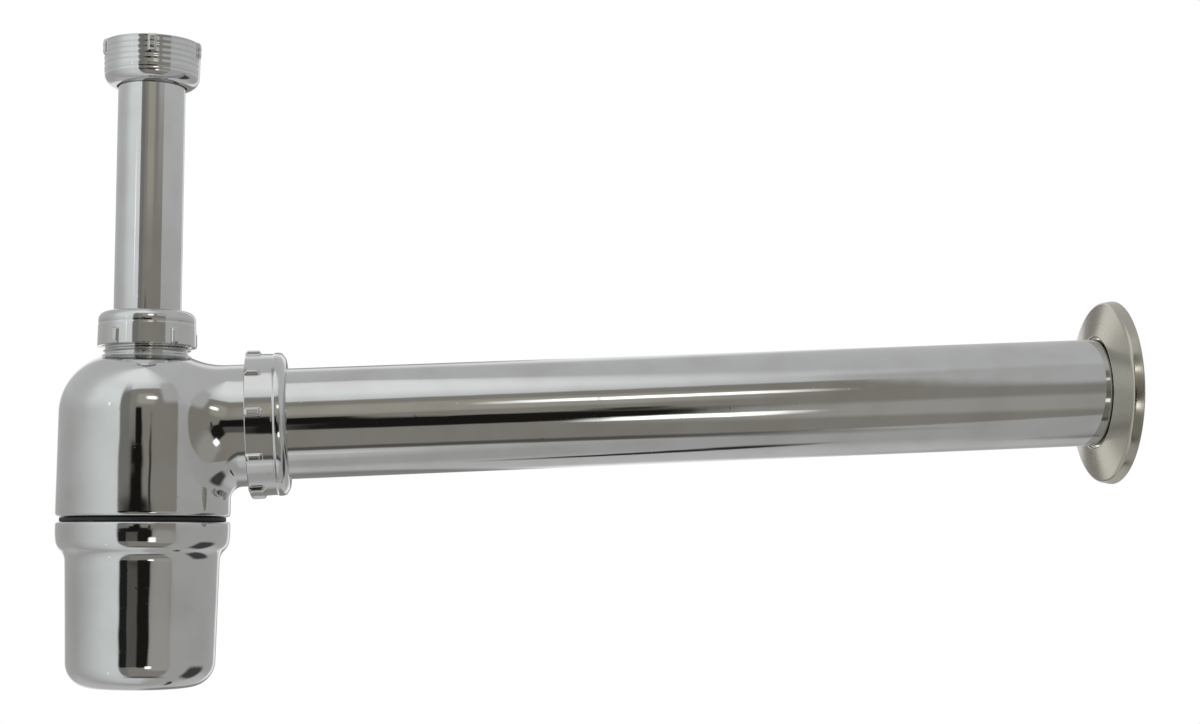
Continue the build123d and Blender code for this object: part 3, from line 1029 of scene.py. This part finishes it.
    def branch(self, outer_patch, inner_patch):
        """Adds the branch: web, fillet, plain run, thread and mouth, and its bore back to the chamber."""
        body, threads = settings("body"), settings("threads")
        bore, root, pitch = branch_bore(), branch_thread_root(), threads.pipe_pitch
        join = BranchJoin(self.outer, self.branch_radius, body.branch_fillet, body.branch_low_fillet)
        loop, turns, contact = self.web(outer_patch, join, WEB_ROWS)
        for points in join.arc(turns, contact):
            loop = self.bridge(loop, self.add(points))
        run_end = measure("outlet_nut", OUTLET)[0] + body.branch_run
        for k in range(1, RUN_ROWS + 1):
            loop = self.carry(loop, self.branch_radius, turns, contact + (run_end - contact) * k / RUN_ROWS)
        mouth = measure("outlet_washer", OUTLET)[0]
        lip_end = mouth - MOUTH_DEPTH
        corners = [
            (self.branch_radius, run_end, 0),
            (root, run_end + body.branch_step, 0),
            (root, mouth, body.edge),
            (bore, mouth, body.edge),
            (bore, lip_end, 0),
        ]
        outline = rounded(corners, closed=False)[1:]
        for point in refined(outline, root, thread_step(pitch), closed=False):
            radius, at = point.real, point.imag
            if abs(radius - root) < ON_RADIUS:
                lift = lead_in(at, run_end, mouth, pitch) * thread_wave(turns, at, pitch)
                radius = radius + threads.depth * lift
            loop = self.carry(loop, radius, turns, at)
        web, turns, contact = self.web(inner_patch, BranchJoin(self.inner, bore), INNER_WEB_ROWS)
        for k in range(1, BORE_ROWS):
            loop = self.carry(loop, bore, turns, lip_end + (contact - lip_end) * k / BORE_ROWS)
        self.bridge(loop, web)


class TRAP_OT_body(bpy.types.Operator):
    """Add the cast body: the bell, its neck, its branch and its threaded spigot"""

    bl_idname = "trap.body"
    bl_label = "Cast Body"

    def execute(self, context):
        casting = Casting()
        casting.branch(*casting.section())
        add_piece("body", casting.points, casting.faces, "cast_chrome")
        return {"FINISHED"}


# Cup

# Steps in an arc and rows on the collar, and the share of their full bend that the shoulder's arcs have
CUP_STEPS = 12
COLLAR_ROWS = 16
BEND_SHARE = 0.98


class TRAP_OT_cup(bpy.types.Operator):
    """Add the screw-on cup with its threaded collar, shoulder and rounded bowl"""

    bl_idname = "trap.cup"
    bl_label = "Cup"

    def execute(self, context):
        cup, threads = settings("cup"), settings("threads")
        pitch = threads.fine_pitch
        foot, rim, _, collar = measure("cup", INLET)
        collar_foot = rim - cup.collar_height
        shoulder_foot = collar_foot - cup.shoulder_height
        root = spigot_thread_root() + threads.play
        bore = root + threads.depth / 2
        top = collar - cup.shoulder_step
        base = top - cup.taper
        half_height, half_step = cup.shoulder_height / 2, cup.shoulder_step / 2
        bend = (half_height**2 + half_step**2) / (2 * half_step)
        lead = bend * math.tan(math.asin(half_height / bend) / 2)
        thread_foot = measure("body", INLET)[0] - cup.wall
        bowl_top, bowl_base = top - cup.wall, base - cup.wall
        corners = [
            (0, foot, 0),
            (base, foot, cup.corner),
            (top, shoulder_foot + lead, bend * BEND_SHARE),
            (collar, collar_foot - lead, bend * BEND_SHARE),
            (collar, rim, cup.edge),
            (bore, rim, cup.edge),
            (bore, thread_foot, cup.edge),
            (bowl_top, thread_foot - (bore - bowl_top), cup.edge),
            (bowl_base, foot + cup.wall, cup.corner - cup.wall),
            (0, foot + cup.wall, 0),
        ]
        outline = rounded(corners, closed=False, steps=CUP_STEPS)
        outline = refined(outline, bore, thread_step(pitch), closed=False)
        outline = refined(outline, collar, cup.collar_height / COLLAR_ROWS, closed=False)
        swell_middle = rim - cup.collar_height * cup.swell_drop
        swell_half = cup.collar_height * cup.swell_reach

        def relief(radii, angles, stations):
            threaded = (np.abs(radii - bore) < ON_RADIUS) & (stations > thread_foot)
            mouth = (radii < root + threads.depth) & (stations > rim - cup.edge)
            cut = inside_thread(angles, stations, rim - stations, root, pitch)
            swell = np.clip(1 - ((stations - swell_middle) / swell_half) ** 2, 0, 1)
            on_collar = radii > collar - cup.edge * 2
            swollen = radii + cup.collar_swell * np.where(on_collar, swell, 0)
            return np.where(threaded | mouth, cut, swollen)

        turned("cup", outline, INLET, "cast_chrome", relief=relief, closed=False)
        return {"FINISHED"}


# Tubes

class TRAP_OT_tubes(bpy.types.Operator):
    """Add the dip tube with its rolled collar and the long tube to the wall"""

    bl_idname = "trap.tubes"
    bl_label = "Tubes"

    def execute(self, context):
        tubes = settings("tubes")
        foot, top, bore, collar = measure("inlet_tube", INLET)
        tube = bore + tubes.wall
        corners = [
            (bore, foot, tubes.edge),
            (tube, foot, tubes.edge),
            (tube, top - tubes.collar, tubes.edge),
            (collar, top - tubes.collar, tubes.lip),
            (collar, top, tubes.lip),
            (bore, top, tubes.lip),
        ]
        turned("inlet_tube", rounded(corners), INLET, "tube_chrome")
        outline = square_ring(*measure("outlet_tube", OUTLET), tubes.edge)
        turned("outlet_tube", outline, OUTLET, "tube_chrome")
        return {"FINISHED"}


# Wall flange

class TRAP_OT_flange(bpy.types.Operator):
    """Add the pressed wall flange with its ridge and turned-back rim"""

    bl_idname = "trap.flange"
    bl_label = "Wall Flange"

    def execute(self, context):
        flange = settings("flange")
        low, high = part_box("wall_flange")
        centre = (low + high) / 2
        place = Matrix(((0, 0, -1), (0, 1, 0), (1, 0, 0))).to_4x4()
        place.translation = (high.x, centre.y, centre.z)
        _, depth, _, rim = measure("wall_flange", place)
        hole = measure("outlet_tube", OUTLET)[3] + flange.hole_play
        lip, lip_end = hole + flange.lip_sheet, depth - flange.lip
        ridge = rim - flange.rim_draft
        sheet, bend = flange.sheet, flange.rim_radius
        corners = [
            (rim, 0, flange.rim_edge),
            (ridge, flange.rim_depth, bend),
            (hole, depth, flange.lip_bend),
            (hole, lip_end, flange.lip_edge),
            (lip, lip_end, flange.lip_edge),
            (lip, depth - sheet, flange.lip_back),
            (ridge - sheet, flange.rim_depth - sheet, bend - sheet),
            (rim - sheet, 0, flange.rim_edge),
        ]
        turned("wall_flange", rounded(corners), place, "polished_steel")
        return {"FINISHED"}


# Rings

class TRAP_OT_rings(bpy.types.Operator):
    """Add the rubber rings, the cup's seal and the nylon slip rings"""

    bl_idname = "trap.rings"
    bl_label = "Rings"

    def execute(self, context):
        rings = settings("rings")
        play = rings.play
        rubber, slip = ("black_rubber", rings.rubber_edge), ("white_nylon", rings.slip_edge)
        for node, place, (finish, edge) in (
            ("inlet_washer", INLET, rubber),
            ("neck_washer", INLET, rubber),
            ("neck_slip_ring", INLET, slip),
            ("cup_seal", INLET, rubber),
            ("outlet_washer", OUTLET, rubber),
            ("outlet_slip_ring", OUTLET, slip),
        ):
            low, high, hole, rim = measure(node, place)
            outline = square_ring(low + play, high - play, hole + play, rim - play, edge)
            turned(node, outline, place, finish)
        return {"FINISHED"}


# Stage

# Cards on the studio's walls: azimuth and elevation from the trap, half width, half height and softness of
# the edge, all in degrees, and the light that they give. A later card covers an earlier one.
CARDS = (
    ("left wall", -30, 5, 44, 90, 80, (0.86, 0.90, 0.89)),
    ("left wall, high", -44, 30, 28, 18, 24, (1.0, 1.04, 1.03)),
    ("ceiling", -15, 70, 46, 20, 22, (1.10, 1.11, 1.10)),
    ("backdrop", 180, 0, 24, 45, 10, (1.0, 1.0, 1.0)),
    ("low backdrop", 180, -50, 60, 22, 16, (0.64, 0.64, 0.63)),
    ("low strip", 128, -66, 22, 2.4, 2, (0.03, 0.03, 0.03)),
    ("back screen", 178, -12, 9, 40, 4, (0.30, 0.295, 0.28)),
    ("low right flag", 105, -33, 18, 17, 10, (0.07, 0.07, 0.07)),
    ("dark screen", 12, -10, 38, 52, 3, (0.31, 0.295, 0.26)),
    ("dark screen, left", -20, -4, 7, 46, 4, (0.24, 0.235, 0.22)),
    ("pale card, right", 42, 34, 12, 18, 7, (0.56, 0.56, 0.55)),
    ("pale card, low right", 35, -16, 17, 13, 9, (0.44, 0.43, 0.40)),
    ("pale card, high", 8, 22, 12, 10, 6, (0.46, 0.44, 0.375)),
    ("dark strip", 14, -57, 34, 3.5, 4, (0.12, 0.115, 0.11)),
    ("bright strip", 6, -69, 9, 2, 5, (0.85, 0.85, 0.84)),
    ("dim flag", -6, -9, 20, 7, 3, (0.12, 0.115, 0.105)),
    ("left flag", -20.5, -9, 5.5, 8, 2, (0.02, 0.019, 0.018)),
    ("foot flag", -4, -2, 20, 3, 2, (0.015, 0.014, 0.013)),
    ("right flag", 9, -10, 9, 8, 3, (0.015, 0.014, 0.012)),
    ("broad flag", -4, 1.5, 8, 2.5, 2, (0.012, 0.011, 0.01)),
    ("tall flag", -1.5, 3.5, 4, 4.5, 2.5, (0.012, 0.011, 0.01)),
    ("thin flag", 14, 2, 1.5, 2.5, 2, (0.04, 0.038, 0.035)),
    ("upper lamp", 15.5, 24, 6, 2.5, 3, (2.6, 2.6, 2.55)),
    ("lower lamp", 18.5, -18, 4, 3.5, 3.5, (2.7, 2.7, 2.65)),
    ("spot, left", -42, 12, 1, 2, 2, (1.7, 1.7, 1.7)),
    ("spot, low left", -48, -35, 1, 2, 2, (1.6, 1.6, 1.6)),
)

# Elevation in degrees where the walls reach their upper light, and how square the corners of the cards are
WALL_RISE = 18
SQUARENESS = 4


def card_span(nodes, value, middle, half):
    """How far an angle lies from a card's middle, in half spans, to the power of its squareness."""
    apart = nodes.maths("WRAP", nodes.maths("SUBTRACT", value, middle), 180, -180)
    spans = nodes.maths("ABSOLUTE", nodes.maths("DIVIDE", apart, half))
    return nodes.maths("POWER", spans, SQUARENESS)


def studio_material():
    """Lit walls of a plain studio, brighter above and to the left, with dark screens round the camera."""
    studio = settings("studio")
    material, nodes = new_material("studio_walls")
    nodes.tree.nodes.clear()
    x, y, z = nodes.add("SeparateXYZ", {0: nodes.vector("NORMALIZE", nodes.place)}).outputs
    azimuth = nodes.maths("DEGREES", nodes.maths("ARCTAN2", x, nodes.maths("MULTIPLY", y, -1)))
    elevation = nodes.maths("DEGREES", nodes.maths("ARCSINE", z))
    rise = nodes.ranged(elevation, low=0, high=WALL_RISE)
    light = nodes.blended(rise, studio.wall_low, studio.wall_high)
    for label, heading, height, half_width, half_height, soft, tone in CARDS:
        across = card_span(nodes, azimuth, heading, half_width)
        upright = card_span(nodes, elevation, height, half_height)
        reach = nodes.maths("POWER", nodes.maths("ADD", across, upright), 1 / SQUARENESS)
        edge = soft / 2 / min(half_width, half_height)
        on_card = nodes.ranged(reach, low=1 + edge, high=1 - edge, interpolation_type="SMOOTHSTEP")
        light = nodes.blended(on_card, light, tone, label)
    shader = nodes.add("Emission", {"Color": light})
    nodes.add("OutputMaterial", {"Surface": shader.outputs[0]})
    material.cycles.emission_sampling = "NONE"
    return material


def seen_directly(nodes):
    """1 for what the camera, a mirror or glass shows, and 0 for soft light."""
    path = nodes.add("LightPath", {}).outputs
    mirror = nodes.maths("MAXIMUM", path["Is Camera Ray"], path["Is Glossy Ray"])
    return nodes.maths("MAXIMUM", mirror, path["Is Transmission Ray"])


def floor_material():
    """Pale floor that shows white and keeps the trap's soft shadow."""
    studio = settings("studio")
    material, nodes = new_material("pale_floor")
    nodes.surface({
        "Base Color": studio.floor_colour,
        "Roughness": 0.9,
        "Emission Color": (1, 1, 1),
        "Emission Strength": nodes.maths("MULTIPLY", seen_directly(nodes), studio.floor_glow),
    })
    return material


def white_world():
    """World that shows white and gives a softer light than it shows."""
    world = bpy.data.worlds.new("white_studio")
    world.use_nodes = True
    nodes = Nodes(world.node_tree)
    glow = settings("studio").world_glow
    strength = nodes.ranged(seen_directly(nodes), low=0, high=1, to_low=glow, to_high=1)
    nodes.feed(world.node_tree.nodes["Background"], {"Color": (1, 1, 1), "Strength": strength})
    return world


def stage_piece(name, location, material, create, **sizes):
    """Piece of the stage, from one of bmesh's makers."""
    shape = bmesh.new()
    create(shape, **sizes)
    mesh = bpy.data.meshes.new(name)
    shape.to_mesh(mesh)
    shape.free()
    mesh.materials.append(material)
    return linked(name, mesh, location)


def aimed(name, data, location, target):
    """Lamp or camera that stands at a location and faces a target."""
    made = linked(name, data, location)
    made.rotation_euler = (Vector(target) - made.location).to_track_quat("-Z", "Y").to_euler()
    return made


class TRAP_OT_stage(bpy.types.Operator):
    """Add the floor, the studio's walls, the lamp, the world and the camera"""

    bl_idname = "trap.stage"
    bl_label = "Stage"

    def execute(self, context):
        studio = settings("studio")
        scene = context.scene
        low, high = CAD_BOX
        middle = (low + high) / 2
        floor = stage_piece(
            "floor", (middle.x, middle.y, low.z - studio.floor_drop), floor_material(),
            bmesh.ops.create_circle, radius=studio.floor_size, segments=96, cap_ends=True,
        )
        walls = stage_piece(
            "studio_walls", (0, 0, OUTLET.translation.z), studio_material(),
            bmesh.ops.create_icosphere, radius=studio.shell_size, subdivisions=5,
        )
        walls.visible_camera = False
        walls.visible_shadow = False
        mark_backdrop(floor, walls)
        scene.world = white_world()
        lamp = bpy.data.lights.new("key_lamp", "AREA")
        lamp.energy = studio.lamp_power
        lamp.shape = "DISK"
        lamp.size = studio.lamp_size
        key = aimed("key_lamp", lamp, middle + Vector(studio.lamp_place), middle)
        key.visible_glossy = False
        lens = bpy.data.cameras.new("camera")
        lens.lens = studio.lens
        lens.sensor_width = 36
        scene.camera = aimed("camera", lens, studio.camera, studio.target)
        scene.view_settings.view_transform = "Standard"
        return {"FINISHED"}


# Panel and registration

class TRAP_PT_panel(bpy.types.Panel):
    """The trap's pieces and sizes in the sidebar"""

    bl_idname = "TRAP_PT_panel"
    bl_label = "Basin Trap"
    bl_space_type = "VIEW_3D"
    bl_region_type = "UI"
    bl_category = "Trap"

    def draw(self, context):
        for operator in OPERATORS:
            self.layout.operator(operator.bl_idname)
        for group, kind in GROUPS.items():
            box = self.layout.box()
            box.label(text=group.title())
            for name in kind.__annotations__:
                box.prop(settings(group), name)


OPERATORS = (
    TRAP_OT_nuts,
    TRAP_OT_body,
    TRAP_OT_cup,
    TRAP_OT_tubes,
    TRAP_OT_flange,
    TRAP_OT_rings,
    TRAP_OT_stage,
)


def register():
    for kind in (*GROUPS.values(), *OPERATORS, TRAP_PT_panel):
        bpy.utils.register_class(kind)
    for group, kind in GROUPS.items():
        setattr(bpy.types.Scene, f"trap_{group}", PointerProperty(type=kind))


def unregister():
    for group in GROUPS:
        delattr(bpy.types.Scene, f"trap_{group}")
    for kind in (TRAP_PT_panel, *reversed(OPERATORS), *reversed(GROUPS.values())):
        bpy.utils.unregister_class(kind)


def main():
    register()
    bpy.ops.trap.nuts()
    bpy.ops.trap.body()
    bpy.ops.trap.cup()
    bpy.ops.trap.tubes()
    bpy.ops.trap.flange()
    bpy.ops.trap.rings()
    bpy.ops.trap.stage()
    boxes = {"cad": CAD_BOX, "visual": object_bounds()}
    {name: [list(corner) for corner in box] for name, box in boxes.items()}


if __name__ == "__main__":
    main()
